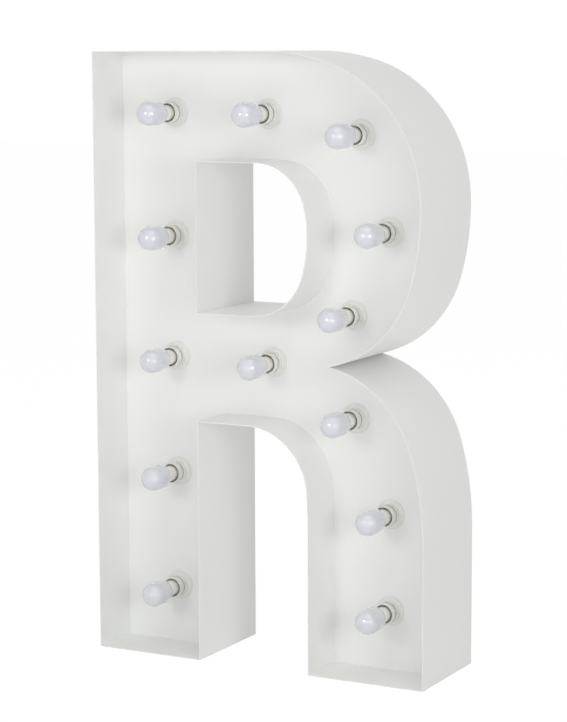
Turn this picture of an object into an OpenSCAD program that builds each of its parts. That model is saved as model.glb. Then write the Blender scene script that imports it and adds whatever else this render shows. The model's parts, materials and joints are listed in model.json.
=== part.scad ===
// Light-up letter: a capital R in folded sheet, with a recessed face that carries screw-in bulbs.
// The letter stands on its two feet, faces -Y and has its origin at the middle of its footprint.
// Outlines are drawn in the letter's own plane: x from its left edge, y up from the floor.

/* [Letter outline] */
// Height of the letter; a taller letter gets longer legs
letter_h = 1200; // [1140:5:1300]
// Width of the letter, to the outer wall of the leg
letter_w = 720; // [700:5:780]
// Width of the upright stem
stem_w = 234; // [220:1:250]
// Height of the crown, over the counter (the hole in the bowl)
crown_h = 212; // [202:1:214]
// Height of the counter
counter_h = 293; // [291:1:305]
// Height of the bar between counter and arch
bar_h = 215; // [205:1:225]
// Width of the leg
leg_w = 244; // [230:1:256]
// Width of the bowl, between the counter and its outer wall
bowl_w = 237; // [225:1:245]
// How far the bowl stays behind the leg's outer wall
bowl_inset = 8; // [2:1:20]

/* [Curves] */
// Radius of the bowl where it leaves the crown
crown_r = 450; // [420:5:470]
// Radius of the bowl's upper side
bowl_r = 280; // [270:1:290]
// Straight stretch at the bowl's furthest reach
bowl_straight = 9; // [4:1:14]
// Radius of the bowl's lower side
bowl_low_r = 497; // [480:1:510]
// Radius of the bowl where it runs into the notch
notch_r = 227; // [222:1:230]
// Height between the centres of the two curves that meet in the notch
notch_span = 445; // [440:1:448]
// Radius of the leg where it leaves the notch
shoulder_r = 228; // [225:1:232]
// Radius of the leg's outer side
leg_r = 620; // [600:5:640]
// Radius of the arch
arch_r = 130; // [118:1:140]
// How much larger the radius of the arch's side is
arch_flare = 812.5; // [600:12.5:1000]
// Radius of the counter's upper corner
counter_r = 106; // [96:1:107]
// Radius of the counter's upper side
counter_side_r = 194; // [180:1:198]
// Radius of the counter's lower corner
counter_low_r = 114; // [104:1:115]
// Radius of the counter's lower side
counter_low_side_r = 254; // [240:1:258]

/* [Sheet] */
// Depth of the letter, from front rim to back edge
depth = 230; // [200:2:260]
// Depth of the recess in front of the face panel
recess = 111; // [100:1:118]
// Depth of the recess behind the rear panel
rear_recess = 12; // [10:1:20]
// Thickness of the walls
wall_t = 1.5; // [1.2:0.1:2.5]
// Thickness of the face panel and the rear panel
panel_t = 1.5; // [1.2:0.1:3]
// Gap between a panel's edge and the walls
panel_gap = 0.5; // [0.4:0.1:1]

/* [Corner tabs] */
// Width of a tab along the wall
tab_w = 20; // [16:1:26]
// Length of each leg of a tab
tab_leg = 18; // [16:1:24]
// Thickness of a tab
tab_t = 1.5; // [1.2:0.1:2.5]
// Radius of a weld stud or a panel screw
stud_r = 2; // [1.5:0.1:2.5]
// Length of a weld stud or a panel screw
stud_len = 9; // [8:0.5:12]
// Radius of a screw head
head_r = 4; // [3.4:0.1:5]
// Height of a screw head
head_h = 2.4; // [1.8:0.1:3]
// Width of a nut across its corners
nut_w = 8.1; // [7:0.1:9]
// Thickness of a nut
nut_t = 3.2; // [2.5:0.1:4]
// Radial clearance of a stud in its hole
stud_gap = 0.15; // [0.1:0.05:0.3]

/* [Bulb places] */
// How far the stem bulbs sit right of the stem's middle
stem_bulb_shift = 6.5; // [0:0.5:12]
// Distance of the top row below the letter's top
top_row = 121; // [110:1:135]
// Height of the foot row
foot_row = 119; // [105:1:130]
// How far the middle row sits above the bar's middle
bar_row_rise = 4.5; // [0:0.5:10]
// Bulb on the crown, from the left edge
crown_bulb_x = 335; // [320:1:350]
// Bulb on the bar, from the left edge
bar_bulb_x = 344; // [330:1:358]
// How far the bowl's middle bulb sits right of the bowl's middle
bowl_bulb_shift = 3; // [0:0.5:8]
// How far the bowl's middle bulb sits below its furthest reach
bowl_bulb_drop = 56; // [40:1:70]
// Upper bowl bulb: how far left of the bowl's middle bulb
bowl_high_in = 61; // [50:1:75]
// Upper bowl bulb: how far above the bowl's middle bulb
bowl_high_rise = 184; // [170:1:195]
// Lower bowl bulb: how far left of the bowl's middle bulb
bowl_low_in = 77; // [65:1:85]
// Lower bowl bulb: how far below the bowl's middle bulb
bowl_low_drop = 163; // [150:1:170]
// How far the leg's lower bulbs sit right of the leg's middle
leg_bulb_shift = 2; // [0:0.5:6]
// Upper leg bulb: how far left of the leg's lower bulbs
leg_high_in = 75; // [65:1:85]
// Upper leg bulb: how far below the notch
leg_high_drop = 114; // [100:1:125]
// Middle leg bulb: how far above the half-way point
leg_mid_rise = 5; // [0:1:10]

/* [Lampholder] */
// Radius of the round flange
flange_r = 29.5; // [27:0.5:32]
// Thickness of the flange
flange_t = 3; // [2:0.5:4]
// Chamfer of the flange's rim
flange_edge = 1; // [0.5:0.1:1.5]
// Cone between the flange and the barrel
barrel_root = 1.5; // [0.5:0.1:2.5]
// Radius of the barrel
barrel_r = 20.3; // [19.5:0.1:22]
// Height of the barrel above the panel
barrel_h = 15.5; // [13:0.5:17]
// Width of the seam between barrel and collar
seam_w = 0.9; // [0.5:0.1:1.5]
// Radius of the collar
collar_r = 20; // [19.2:0.1:21.5]
// Height of the collar's mouth above the panel
collar_h = 33; // [31:0.5:36]
// Thickness of the collar's lip
lip_t = 1.6; // [1.2:0.1:2]
// Chamfer of the collar's lip
lip_edge = 0.6; // [0.3:0.1:1]
// Width of the shelf between the lip and the base's upstand
shelf_w = 1.6; // [1.4:0.1:2]
// How far the collar's ledge reaches in over the upstand
ledge_w = 1.2; // [0.8:0.1:1.3]
// Thickness of this ledge
ledge_t = 1.4; // [1:0.1:1.6]
// Depth of the collar's mouth
mouth_h = 9; // [7:0.5:10]
// Radius of the threaded spigot behind the panel
spigot_r = 17.5; // [16.5:0.1:18.5]
// Length of the spigot behind the flange
spigot_len = 15; // [13:0.5:18]
// Radius of the bore that takes the contact sleeve
socket_r = 14.3; // [14.3:0.1:14.6]
// Thickness of the contact sleeve
sleeve_t = 0.7; // [0.5:0.05:0.8]
// Height of the contact sleeve's foot above the panel
sleeve_foot = 2; // [1:0.5:3]
// How far the contact sleeve ends below the collar's ledge
sleeve_drop = 1; // [0.5:0.1:2]
// Depth of the socket's floor behind the panel's front
socket_floor = 6; // [4:0.5:8]
// How far the centre contact ends below the sleeve's foot
contact_drop = 1; // [0.6:0.1:1.5]
// Radius of the centre contact's pad
contact_r = 4; // [3.5:0.1:4.5]
// Thickness of this pad, and of the cone under it
contact_pad_t = 0.6; // [0.4:0.1:0.8]
// Radius of the contact's stem
contact_stem_r = 2.2; // [1.8:0.1:2.6]
// Radius of the contact's foot
contact_foot_r = 6; // [5:0.1:7]
// Thickness of the contact's foot
contact_foot_t = 1; // [0.6:0.1:1.5]
// Radius of the ring nut
ring_nut_r = 22.5; // [21:0.5:25]
// Thickness of the ring nut
ring_nut_t = 6; // [4:0.5:8]
// Clearance of the screwed and pushed-in holder pieces
holder_gap = 0.2; // [0.1:0.05:0.3]

/* [Bulb] */
// Radius of the diffuser
globe_r = 24.3; // [22.5:0.1:25]
// Radius of the diffuser near its shoulder
globe_back_r = 23.5; // [22:0.1:24]
// Height of the diffuser's tip above the panel
globe_tip = 124.3; // [120:0.1:128]
// Length of the diffuser between its two rounded ends
globe_len = 25; // [20:0.5:28]
// Thickness of the diffuser
globe_t = 1.4; // [1:0.1:2]
// Radius of the neck where it carries the diffuser
neck_r = 16.4; // [15.5:0.1:17]
// Radius of the neck at the screw cap
neck_foot_r = 15.3; // [14.8:0.1:15.6]
// How much the neck widens from the screw cap to the collar's mouth
neck_flare = 0.4; // [0.2:0.1:0.6]
// Height of the screw cap's top above the panel
cap_top = 26; // [25:0.5:28]
// Thread pitch of the screw cap
cap_pitch = 3.63; // [3.4:0.01:3.8]
// Crest radius of the screw cap
cap_r = 13.1; // [12.8:0.05:13.15]
// Depth of the thread
thread_h = 0.9; // [0.6:0.1:1.1]
// Share of the pitch that the flat crest of the thread takes
crest_share = 0.3; // [0.2:0.05:0.4]
// Length of the cap that has no thread, half at each end
cap_plain = 2; // [1.5:0.1:3]
// Height of the insulator between the bulb's tip and the cap
insulator_h = 6; // [5:0.5:7]
// Radius of the insulator at the tip
insulator_r = 8; // [7:0.1:9]
// Radius of the bulb's tip
tip_r = 4.8; // [4.4:0.1:5.2]
// Height of the bulb's tip
tip_h = 1.5; // [1:0.1:2]
// Chamfer of the tip and of the cap's foot
cap_edge = 0.4; // [0.2:0.1:0.6]
// Gap between the bulb's tip and the centre contact
contact_gap = 0.3; // [0.2:0.05:0.6]

/* [Wiring] */
// Radius of the link cable
cable_r = 3; // [2:0.1:3.5]
// Bend radius of the link cable
cable_bend = 14; // [12:1:20]
// Length of cable straight out of a holder
cable_exit = 6; // [4:0.5:10]
// Distance of a cable from its holder's axis
cable_shift = 7; // [6:0.5:9]
// Radius of a supply wire
wire_r = 1.4; // [1:0.1:1.8]
// Length of wire straight out of a terminal
wire_exit = 2; // [1.5:0.5:4]
// Bend radius of a supply wire
wire_bend = 6; // [5:0.5:8]
// Step between supply wires, so that they pass each other
wire_step = 5; // [4:0.5:7]
// Width of the terminal block
block_w = 32; // [30:0.5:36]
// Height of the terminal block
block_h = 18; // [16:0.5:22]
// Depth of the terminal block
block_d = 15; // [13:0.5:17]
// Distance between the terminal block's ports
port_pitch = 10.5; // [9.5:0.1:11]
// Depth of a port
port_depth = 4; // [3:0.5:6]
// Radial clearance of a wire in its port
port_gap = 1.4; // [1:0.1:1.8]
// Length of the earth stud inside the letter
earth_len = 16; // [13:0.5:20]

/* [Inlet and switch] */
// Height of the inlet
inlet_z = 160; // [140:2:180]
// Height of the switch
switch_z = 212; // [200:2:230]
// Height of the terminal block
block_z = 262; // [252:2:280]
// Height of the earth stud
earth_z = 112; // [100:2:122]
// Width of the inlet's flange
inlet_w = 50; // [48:0.5:54]
// Height of the inlet's flange
inlet_h = 24; // [23:0.5:27]
// Thickness of the inlet's flange
inlet_t = 2.5; // [2:0.1:3]
// Distance between the inlet's screws
inlet_pitch = 40; // [39:0.1:42]
// Width of the inlet's socket
socket_w = 24.4; // [24:0.1:25]
// Height of the inlet's socket
socket_h = 16.4; // [16:0.1:17]
// Depth of the inlet's socket behind its flange
socket_d = 16; // [15:0.5:18]
// Thickness of the inlet's floor
inlet_floor = 4; // [3:0.5:5]
// Wall of the inlet's body round its socket
inlet_wall = 1.6; // [1.2:0.1:2]
// Radius of the inlet's screws
inlet_screw_r = 1.5; // [1.2:0.1:1.7]
// Length of the inlet's screws behind the panel
inlet_screw_len = 6; // [4:0.5:8]
// Radius of their heads
inlet_head_r = 3; // [2.6:0.1:3.4]
// Height of their heads
inlet_head_h = 1.8; // [1.4:0.1:2.2]
// Distance of the outer blades from the inlet's middle
blade_pitch = 7; // [6.5:0.1:7.5]
// How far the outer blades lie below the inlet's middle, and the earth blade above it
blade_drop = 2; // [1.5:0.1:2.5]
// Thickness of a blade
blade_t = 2; // [1.6:0.1:2.4]
// Width of a blade
blade_w = 4; // [3.6:0.1:4.4]
// How far a blade ends below the panel's outer face
blade_short = 3; // [2:0.5:4]
// Clearance of a blade in the inlet's floor
blade_gap = 0.1; // [0.05:0.05:0.2]
// Length of a terminal behind the inlet or the switch
tail_len = 8; // [6:0.5:10]
// Width of the rocker
rocker_w = 9.8; // [9:0.1:10.5]
// Half length of the rocker
rocker_half = 7.4; // [7:0.1:8]
// Height of the rocker's ends above its pin
rocker_high = 5; // [4.5:0.1:5.5]
// Height of the rocker's middle above its pin
rocker_mid = 3.8; // [3.2:0.1:4.4]
// Thickness of the rocker's ends
rocker_end_t = 2.5; // [2:0.1:3]
// Half length of the rocker's heel
rocker_heel = 4; // [3.5:0.1:4.5]
// Depth of the heel below the pin
rocker_deep = 3; // [2.5:0.1:3.5]
// Tilt of the rocker from level, each way
rocker_tilt = 9; // [7:0.5:10]
// Radius of the rocker's pin
rocker_pin_r = 1.5; // [1.2:0.1:1.8]
// Depth of the pin behind the panel's outer face
pin_drop = 2; // [1.5:0.1:2.5]
// How far the pin's ends stay inside the switch body's sides
pin_short = 0.3; // [0.2:0.1:0.5]
// Radial clearance of the rocker's pin
pin_gap = 0.05; // [0.02:0.01:0.08]
// Clearance of the rocker in its body
rocker_gap = 0.35; // [0.3:0.05:0.6]
// Wall of the switch body
switch_wall = 1.5; // [1.3:0.1:2]
// Width of the switch's rim round its body
switch_rim = 1.5; // [1.2:0.1:2]
// Thickness of the switch's rim
switch_rim_t = 2; // [1.5:0.1:2.5]
// Depth of the switch body behind the panel's outer face
switch_d = 18; // [15:0.5:20]
// Depth of the switch's cavity behind the panel's outer face
cavity_d = 9; // [8.5:0.5:12]
// Width of a switch terminal
spade_w = 4.8; // [4:0.1:5.6]
// Thickness of a switch terminal
spade_t = 0.8; // [0.6:0.1:1]
// Clearance of the inlet and the switch in their cut-outs
cutout_gap = 0.3; // [0.2:0.05:0.5]

/* [Hidden] */
$fn = 64;
// Segments of a full circle in the walls' curves, and steps of the diffuser's two curves
wall_fn = 360;
shoulder_steps = 6;
dome_steps = 12;
// Farthest that the panels' curves stray from an arc
chord_err = 0.1;
// Reach of a cutting wedge, how far a cutter passes its faces and how far joined solids overlap
far = 3125;
over = 1;
eps = 0.01;
// Length of the tongue across a joint of two stretches of wall
tongue_len = 1;
// Step that keeps the centre of the arch a short decimal
flare_step = 12.5;
// A stretch that bends less than this many degrees is straight
min_bend = 0.05;
// A corner sharper than this gets two points, not a mitre
min_spread = 0.5;

// Planes from front to back
bulb_out = max(0, globe_tip - recess);
y_rim = (bulb_out - depth) / 2;
y_back = y_rim + depth;
y_face = y_rim + recess;
y_face_back = y_face + panel_t;
y_rear = y_back - rear_recess;
y_rear_in = y_rear - panel_t;

// Plane geometry: a stretch of outline is [start, heading, end], straight or one arc
function right_of(a) = [sin(a), -cos(a)];
function wrapped(a) = ((a % 360) + 540) % 360 - 180;
function bend_of(s) = 2 * wrapped(atan2(s[2][1] - s[0][1], s[2][0] - s[0][0]) - s[1]);
function is_arc(s) = abs(bend_of(s)) > min_bend;
function end_heading(s) = s[1] + bend_of(s);
function arc_r(s) = norm(s[2] - s[0]) / (2 * abs(sin(bend_of(s) / 2)));
function arc_centre(s) = s[0] - right_of(s[1]) * sign(bend_of(s)) * arc_r(s);
function heading_at(s, f) = s[1] + bend_of(s) * f;
function point_at(s, f) = is_arc(s)
    ? arc_centre(s) + right_of(heading_at(s, f)) * sign(bend_of(s)) * arc_r(s)
    : s[0] + (s[2] - s[0]) * f;
// An arc round centre c from direction n to direction m; turn 1 is anticlockwise, -1 clockwise
function arc(c, r, n, m, turn) = [c + r * n, atan2(n[1], n[0]) + 90 * turn, c + r * m];

// Directions from an arc's centre; arcs meet along whole-number right triangles,
// which keeps their centres and radii short decimals and the walls free of tiny steps
east = [1, 0];
north = [0, 1];
south = [0, -1];
high = [0.28, 0.96];
low = [0.96, 0.28];
low_down = [0.96, -0.28];
lowest = [0.99712, 0.07584];

// Heights and widths of the letter's parts
bowl_reach = letter_w - bowl_inset;
counter_reach = bowl_reach - bowl_w;
leg_x = letter_w - leg_w;
counter_high = letter_h - crown_h;
counter_low = counter_high - counter_h;
arch_z = counter_low - bar_h;

// Centres of the arcs: each pair meets along one of the directions above
bowl_c = [bowl_reach - bowl_r, letter_h - crown_r + (crown_r - bowl_r) * high[1]];
crown_c = bowl_c - (crown_r - bowl_r) * high;
bowl_low_c = [bowl_reach - bowl_low_r, bowl_c[1] - bowl_straight];
notch_c = bowl_low_c + (bowl_low_r - notch_r) * low_down;
seam_z = notch_c[1] - notch_span - (leg_r - shoulder_r) * low[1];
leg_c = [letter_w - leg_r, seam_z];
shoulder_c = leg_c + (leg_r - shoulder_r) * low;
arch_side_r = arch_r + flare_step * round(arch_flare / flare_step);
arch_side_c = [leg_x - arch_side_r, arch_z - arch_r - (arch_side_r - arch_r) * lowest[1]];
arch_c = arch_side_c + (arch_side_r - arch_r) * lowest;
counter_side_c = [counter_reach - counter_side_r,
    counter_high - counter_r - (counter_side_r - counter_r) * low[1]];
counter_c = counter_side_c + (counter_side_r - counter_r) * low;
counter_low_side_c = [counter_reach - counter_low_side_r,
    counter_low + counter_low_r + (counter_low_side_r - counter_low_r) * low[1]];
counter_low_c = counter_low_side_c + (counter_low_side_r - counter_low_r) * low_down;

// The notch: where the bowl's last arc and the leg's first arc cross, on their right
function crossing(c, r, d, q) =
    let (v = d - c, span = norm(v), along = (span * span + r * r - q * q) / (2 * span))
    c + v / span * along + [-v[1], v[0]] / span * sqrt(r * r - along * along);
notch = crossing(notch_c, notch_r, shoulder_c, shoulder_r);
notch_up = (notch - notch_c) / notch_r;
notch_down = (notch - shoulder_c) / shoulder_r;

// Stretches of the outer outline, clockwise from the top left
crown_run = [[[0, letter_h], 0, crown_c + crown_r * north]];
bowl_run = [
    arc(crown_c, crown_r, north, high, -1),
    arc(bowl_c, bowl_r, high, east, -1),
    [bowl_c + bowl_r * east, -90, bowl_low_c + bowl_low_r * east],
    arc(bowl_low_c, bowl_low_r, east, low_down, -1),
    arc(notch_c, notch_r, low_down, notch_up, -1)];
leg_run = [
    arc(shoulder_c, shoulder_r, notch_down, low, -1),
    arc(leg_c, leg_r, low, east, -1)];
leg_low_run = [[[letter_w, seam_z], -90, [letter_w, 0]]];
leg_foot_run = [[[letter_w, 0], 180, [leg_x, 0]]];
leg_in_run = [[[leg_x, 0], 90, arch_side_c + arch_side_r * east]];
arch_bend_run = [
    arc(arch_side_c, arch_side_r, east, lowest, 1),
    arc(arch_c, arch_r, lowest, north, 1)];
arch_flat_run = [[arch_c + arch_r * north, 180, [stem_w, arch_z]]];
stem_in_run = [[[stem_w, arch_z], -90, [stem_w, 0]]];
stem_foot_run = [[[stem_w, 0], 180, [0, 0]]];
spine_run = [[[0, 0], 90, [0, letter_h]]];
outer_run = concat(crown_run, bowl_run, leg_run, leg_low_run, leg_foot_run, leg_in_run,
    arch_bend_run, arch_flat_run, stem_in_run, stem_foot_run, spine_run);

// Stretches of the counter, clockwise from its top left
counter_ceiling_run = [[[stem_w, counter_high], 0, counter_c + counter_r * north]];
counter_bend_run = [
    arc(counter_c, counter_r, north, low, -1),
    arc(counter_side_c, counter_side_r, low, east, -1),
    [counter_side_c + counter_side_r * east, -90, counter_low_side_c + counter_low_side_r * east],
    arc(counter_low_side_c, counter_low_side_r, east, low_down, -1),
    arc(counter_low_c, counter_low_r, low_down, south, -1)];
counter_floor_run = [[counter_low_c + counter_low_r * south, 180, [stem_w, counter_low]]];
counter_spine_run = [[[stem_w, counter_low], 90, [stem_w, counter_high]]];
counter_run = concat(counter_ceiling_run, counter_bend_run, counter_floor_run, counter_spine_run);

// Points of an outline moved by d to the right of travel, mitred at its corners
function corner_points(p, before, after, d) =
    let (n = right_of(before), m = right_of(after), spread = 1 + n * m)
    spread > min_spread ? [p + d * (n + m) / spread] : [p + d * n, p + d * m];
function inner_points(s, d) =
    let (steps = is_arc(s) ? ceil(abs(bend_of(s)) / (2 * acos(1 - chord_err / arc_r(s)))) : 1)
    [for (i = [1 : 1 : steps - 1]) point_at(s, i / steps) + d * right_of(heading_at(s, i / steps))];
function moved_outline(run, d) =
    [for (i = [0 : len(run) - 1])
        let (before = run[(i + len(run) - 1) % len(run)])
        each concat(corner_points(run[i][0], end_heading(before), run[i][1], d), inner_points(run[i], d))];

// Places of the bulbs
stem_x = stem_w / 2 + stem_bulb_shift;
top_z = letter_h - top_row;
bar_z = (arch_z + counter_low) / 2 + bar_row_rise;
bowl_mid = [(counter_reach + bowl_reach) / 2 + bowl_bulb_shift, bowl_c[1] - bowl_bulb_drop];
leg_mid_x = (leg_x + letter_w) / 2 + leg_bulb_shift;
leg_high_z = notch[1] - leg_high_drop;
bulb_sites = [
    [stem_x, top_z],
    [crown_bulb_x, top_z],
    bowl_mid + [-bowl_high_in, bowl_high_rise],
    [stem_x, (top_z + bar_z) / 2],
    bowl_mid,
    bowl_mid - [bowl_low_in, bowl_low_drop],
    [stem_x, bar_z],
    [bar_bulb_x, bar_z],
    [leg_mid_x - leg_high_in, leg_high_z],
    [stem_x, (bar_z + foot_row) / 2],
    [leg_mid_x, (leg_high_z + foot_row) / 2 + leg_mid_rise],
    [stem_x, foot_row],
    [leg_mid_x, foot_row]];
// Order in which the link cables join the holders, by place in the list above
cable_order = [11, 9, 6, 3, 0, 1, 2, 4, 5, 7, 8, 10, 12];
// The holder that the supply feeds
feed_site = cable_order[1];

// Places of the corner tabs: stretch, share of its length, side that the sheet lies on
tab_sites = concat(
    [for (f = [0.06, 0.35, 0.65, 0.94]) [spine_run[0], f, 1]],
    [[crown_run[0], 0.55, 1]],
    [for (s = bowl_run) if (is_arc(s)) [s, 0.5, 1]],
    [for (s = leg_run) [s, 0.5, 1]],
    [[leg_low_run[0], 0.6, 1], [leg_foot_run[0], 0.5, 1], [leg_in_run[0], 0.5, 1]],
    [for (s = arch_bend_run) [s, 0.5, 1]],
    [[arch_flat_run[0], 0.4, 1]],
    [for (f = [0.2, 0.8]) [stem_in_run[0], f, 1]],
    [[stem_foot_run[0], 0.5, 1]],
    [[counter_ceiling_run[0], 0.6, -1], [counter_floor_run[0], 0.4, -1], [counter_spine_run[0], 0.5, -1]],
    [for (s = [counter_bend_run[0], counter_bend_run[4]]) [s, 0.5, -1]]);

// Lampholder and bulb heights, measured forward from the face panel's front
collar_foot = barrel_h + seam_w;
collar_shelf = collar_h - mouth_h;
upstand_r = collar_r - lip_t - shelf_w;
sleeve_in_r = socket_r - holder_gap - sleeve_t;
sleeve_len = collar_shelf - sleeve_drop - sleeve_foot;
contact_top = sleeve_foot - contact_drop;
tip_foot = contact_top + contact_gap;
globe_centre = globe_tip - globe_r;
shoulder_centre = globe_centre - globe_len;
shoulder_angle = asin(neck_r / globe_back_r);
neck_top = shoulder_centre - globe_back_r * cos(shoulder_angle);
cap_foot = tip_foot + insulator_h;
cap_turns = floor((cap_top - cap_foot - cap_plain) / cap_pitch);

// Inlet and switch, measured out from the rear panel's outer face
rear_x = stem_w / 2;
rocker_reach = norm([rocker_half, rocker_high]) * cos(atan2(rocker_high, rocker_half) - rocker_tilt);
cavity_half = rocker_reach + rocker_gap;
cavity_w = rocker_w + 2 * rocker_gap;
switch_w = cavity_w + 2 * switch_wall;
switch_half = cavity_half + switch_wall;
inlet_body_w = socket_w + 2 * inlet_wall;
inlet_body_h = socket_h + 2 * inlet_wall;
inlet_body_d = socket_d + inlet_floor;

function two_digits(n) = n < 10 ? str("0", n) : str(n);

// Placing helpers: a plane drawing stands up between two depths, or a turned piece faces forward
module standing(y0, y1) {
    translate([-letter_w / 2, y1, 0]) rotate([90, 0, 0]) linear_extrude(y1 - y0) children();
}

module at_site(site) {
    translate([site[0] - letter_w / 2, y_face, site[1]]) rotate([90, 0, 0]) children();
}

module at_rear(z) {
    translate([rear_x - letter_w / 2, y_rear, z]) rotate([-90, 0, 0]) children();
}

module turned(points) {
    rotate_extrude() polygon(points);
}

// A wall strip on edge along some stretches; side 1 puts the sheet right of travel, -1 left
module strip(run, side) {
    translate([-letter_w / 2, y_back, 0]) rotate([90, 0, 0]) linear_extrude(depth) {
        for (s = run)
            if (is_arc(s)) arc_band(s, side);
            else translate(s[0]) rotate(s[1]) translate([0, side > 0 ? -wall_t : 0])
                square([norm(s[2] - s[0]), wall_t]);
        tongues(run, side);
    }
}

// A tongue inside the sheet across each joint of a run, which keeps its stretches one piece
module tongues(run, side) {
    for (i = [1 : 1 : len(run) - 1])
        translate(run[i][0]) rotate(run[i][1]) translate([0, -side * wall_t / 2])
            square([tongue_len, wall_t / 3], center = true);
}

module arc_band(s, side) {
    r = arc_r(s);
    inward = bend_of(s) > 0 ? side < 0 : side > 0;
    centre = arc_centre(s);
    translate(centre) intersection() {
        difference() {
            circle(r = inward ? r : r + wall_t, $fn = wall_fn);
            circle(r = inward ? r - wall_t : r, $fn = wall_fn);
        }
        polygon([[0, 0], (s[0] - centre) * far / r, (s[2] - centre) * far / r]);
    }
}

module paint() {
    color("whitesmoke") children();
}

module spine_return() {
    paint() strip([[[0, wall_t], 90, [0, letter_h - wall_t]]], 1);
}

module bowl_return() {
    paint() strip(concat(crown_run, bowl_run), 1);
}

module leg_upper_return() {
    paint() strip(leg_run, 1);
}

module leg_lower_return() {
    paint() strip([[[letter_w, seam_z], -90, [letter_w, wall_t]]], 1);
}

module leg_foot() {
    paint() strip(leg_foot_run, 1);
}

module arch_return() {
    paint() strip(concat(
        [[[leg_x, wall_t], 90, arch_bend_run[0][0]]],
        arch_bend_run,
        [[arch_flat_run[0][0], 180, [stem_w - wall_t, arch_z]]]), 1);
}

module stem_inner_return() {
    paint() strip([[[stem_w, arch_z], -90, [stem_w, wall_t]]], 1);
}

module stem_foot() {
    paint() strip(stem_foot_run, 1);
}

module counter_spine_return() {
    paint() strip(counter_spine_run, -1);
}

module counter_bowl_return() {
    paint() strip(concat(
        [[[stem_w - wall_t, counter_high], 0, counter_bend_run[0][0]]],
        counter_bend_run,
        [[counter_floor_run[0][0], 180, [stem_w - wall_t, counter_low]]]), -1);
}

// The letter's flat shape, clear of the walls
module letter_plate() {
    inset = wall_t + panel_gap;
    difference() {
        polygon(moved_outline(outer_run, inset));
        polygon(moved_outline(counter_run, -inset));
    }
}

module face_panel() {
    paint() difference() {
        standing(y_face, y_face_back) letter_plate();
        for (site = bulb_sites)
            at_site(site) translate([0, 0, -panel_t - over])
                cylinder(r = spigot_r + holder_gap, h = panel_t + 2 * over);
    }
}

// A tab's frame: x along the wall, -y into the letter from the wall's outer face
module at_tab(tab) {
    s = tab[0];
    p = point_at(s, tab[1]);
    flip = tab[2] > 0 ? 0 : 180;
    translate([p[0], p[1], 0]) rotate([0, 0, heading_at(s, tab[1]) + flip]) children();
}

// How far a flat tab stands off a wall that curves round it
function tab_offset(tab) =
    let (s = tab[0])
    !is_arc(s) || bend_of(s) * tab[2] > 0 ? wall_t
        : let (r = arc_r(s) - wall_t) wall_t + r - sqrt(r * r - tab_w * tab_w / 4);
function stud_place(tab) = tab_offset(tab) + tab_t + (tab_leg - tab_t) / 2;

// The corner tabs, drawn from the panel's plane towards the inside of the letter
module corner_tabs() {
    for (tab = tab_sites)
        at_tab(tab) translate([-tab_w / 2, -tab_offset(tab), 0]) difference() {
            union() {
                translate([0, -tab_t, 0]) cube([tab_w, tab_t, tab_leg]);
                translate([0, -tab_leg, 0]) cube([tab_w, tab_leg, tab_t]);
            }
            translate([tab_w / 2, tab_offset(tab) - stud_place(tab), -over])
                cylinder(r = stud_r + stud_gap, h = tab_t + 2 * over);
        }
}

// Frames whose z runs from a panel into the letter
module behind_face() {
    translate([-letter_w / 2, y_face_back, 0]) rotate([90, 0, 0]) mirror([0, 0, 1]) children();
}

module before_rear() {
    translate([-letter_w / 2, y_rear_in, 0]) rotate([90, 0, 0]) children();
}

module at_studs() {
    for (tab = tab_sites)
        at_tab(tab) translate([0, -stud_place(tab), 0]) children();
}

module panel_tabs() {
    color("gainsboro") behind_face() corner_tabs();
}

module panel_studs() {
    color("silver") behind_face() at_studs() cylinder(r = stud_r, h = stud_len);
}

module panel_nuts() {
    color("silver") behind_face() at_studs() translate([0, 0, tab_t]) difference() {
        cylinder(d = nut_w, h = nut_t, $fn = 6);
        translate([0, 0, -over]) cylinder(r = stud_r + stud_gap, h = nut_t + 2 * over);
    }
}

module rear_tabs() {
    color("gainsboro") before_rear() corner_tabs();
}

module rear_screws() {
    color("silver") before_rear() at_studs() {
        translate([0, 0, -panel_t]) cylinder(r = stud_r, h = stud_len);
        translate([0, 0, -panel_t - head_h]) cylinder(r = head_r, h = head_h);
    }
}

// The opening in the rear panel for a body of this width and height
module cutout(w, h) {
    translate([-w / 2 - cutout_gap, -h / 2 - cutout_gap, -panel_t - over])
        cube([w + 2 * cutout_gap, h + 2 * cutout_gap, panel_t + 2 * over]);
}

module rear_panel() {
    paint() difference() {
        standing(y_rear_in, y_rear) letter_plate();
        before_rear() at_studs() translate([0, 0, -panel_t - over])
            cylinder(r = stud_r + stud_gap, h = panel_t + 2 * over);
        at_rear(inlet_z) {
            cutout(inlet_body_w, inlet_body_h);
            for (side = [-1, 1])
                translate([side * inlet_pitch / 2, 0, -panel_t - over])
                    cylinder(r = inlet_screw_r + stud_gap, h = panel_t + 2 * over);
        }
        at_rear(switch_z) cutout(switch_w, 2 * switch_half);
        at_rear(earth_z) translate([0, 0, -panel_t - over])
            cylinder(r = stud_r + stud_gap, h = panel_t + 2 * over);
    }
}

// Lampholder: flanged base through the panel, screwed front collar, sleeve, contact and ring nut
module holder_bases() {
    color("antiquewhite") for (site = bulb_sites)
        at_site(site) turned([
            [0, -spigot_len], [spigot_r, -spigot_len], [spigot_r, 0], [flange_r, 0],
            [flange_r, flange_t - flange_edge], [flange_r - flange_edge, flange_t],
            [barrel_r + barrel_root, flange_t], [barrel_r, flange_t + barrel_root],
            [barrel_r, barrel_h], [upstand_r, barrel_h],
            [upstand_r, collar_shelf], [socket_r, collar_shelf], [socket_r, sleeve_foot],
            [sleeve_in_r, sleeve_foot], [sleeve_in_r, -socket_floor], [0, -socket_floor]]);
}

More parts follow.
